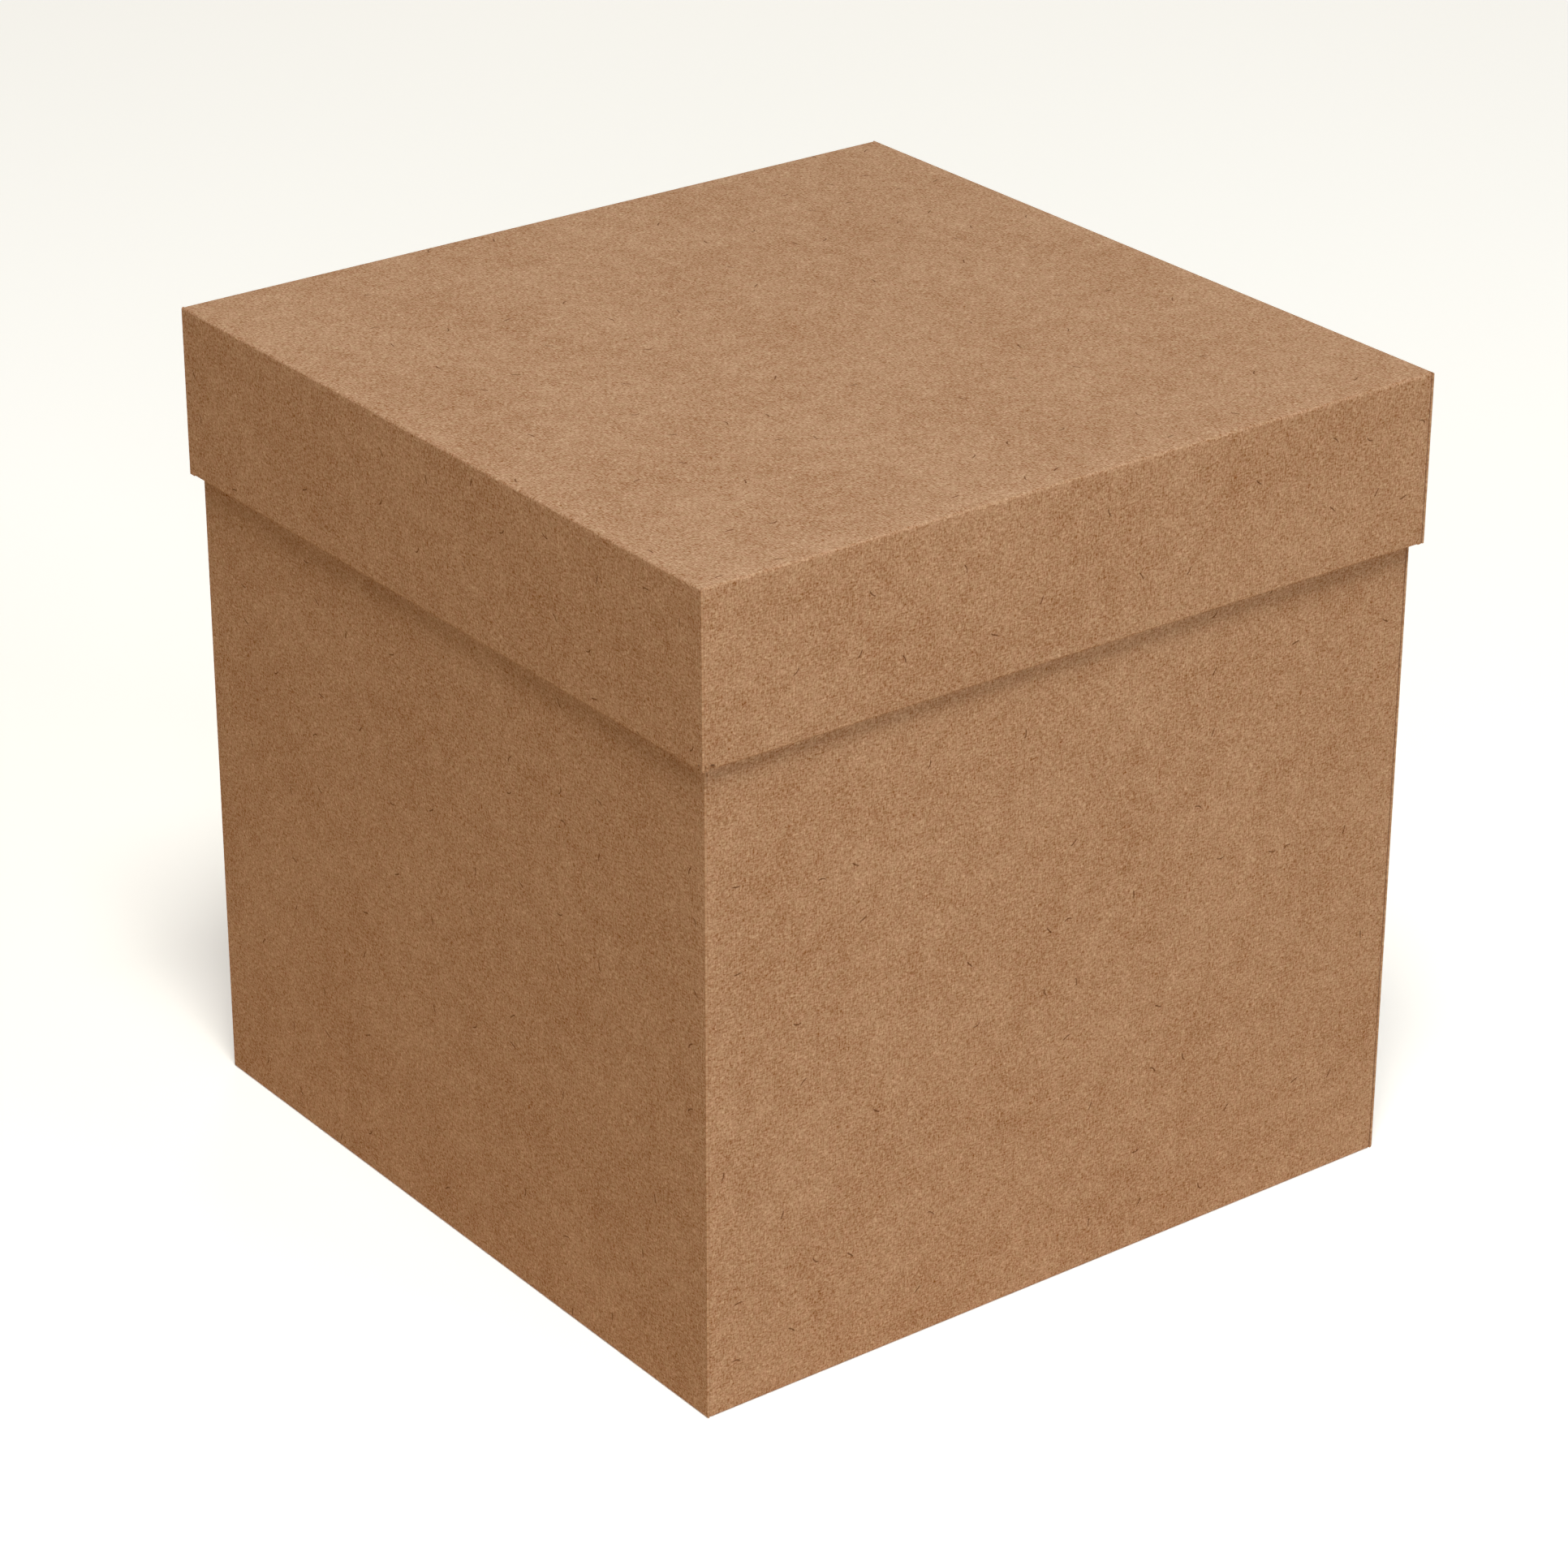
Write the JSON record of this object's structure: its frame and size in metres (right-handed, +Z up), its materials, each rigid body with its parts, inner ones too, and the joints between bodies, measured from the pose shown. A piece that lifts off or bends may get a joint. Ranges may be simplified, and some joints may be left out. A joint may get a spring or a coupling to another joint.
{
  "type": "cardboard box with lift-off lid",
  "caption": "Square kraft board gift box, closed: a deep folded base with double walls and a shallow folded lid that slips over its rim and lifts off.",
  "frame": {"origin": "centre of the base's underside, on the surface that the box stands on", "axes": "+Z up, -Y out of the front wall, +X along the front wall; the side walls that roll over the corner ears are at -X and +X"},
  "size_m": [0.2, 0.2, 0.1966],
  "materials": {
    "base_board": "matte",
    "lid_board": "matte"
  },
  "bodies": {
    "base": {"base": "base_board"},
    "lid": {"lid": "lid_board"}
  },
  "joints": [
    {"name": "lid_lift", "type": "slide", "parent": "base", "child": "lid", "axis": [0, 0, 1], "range_m": [0, 0.06]}
  ]
}
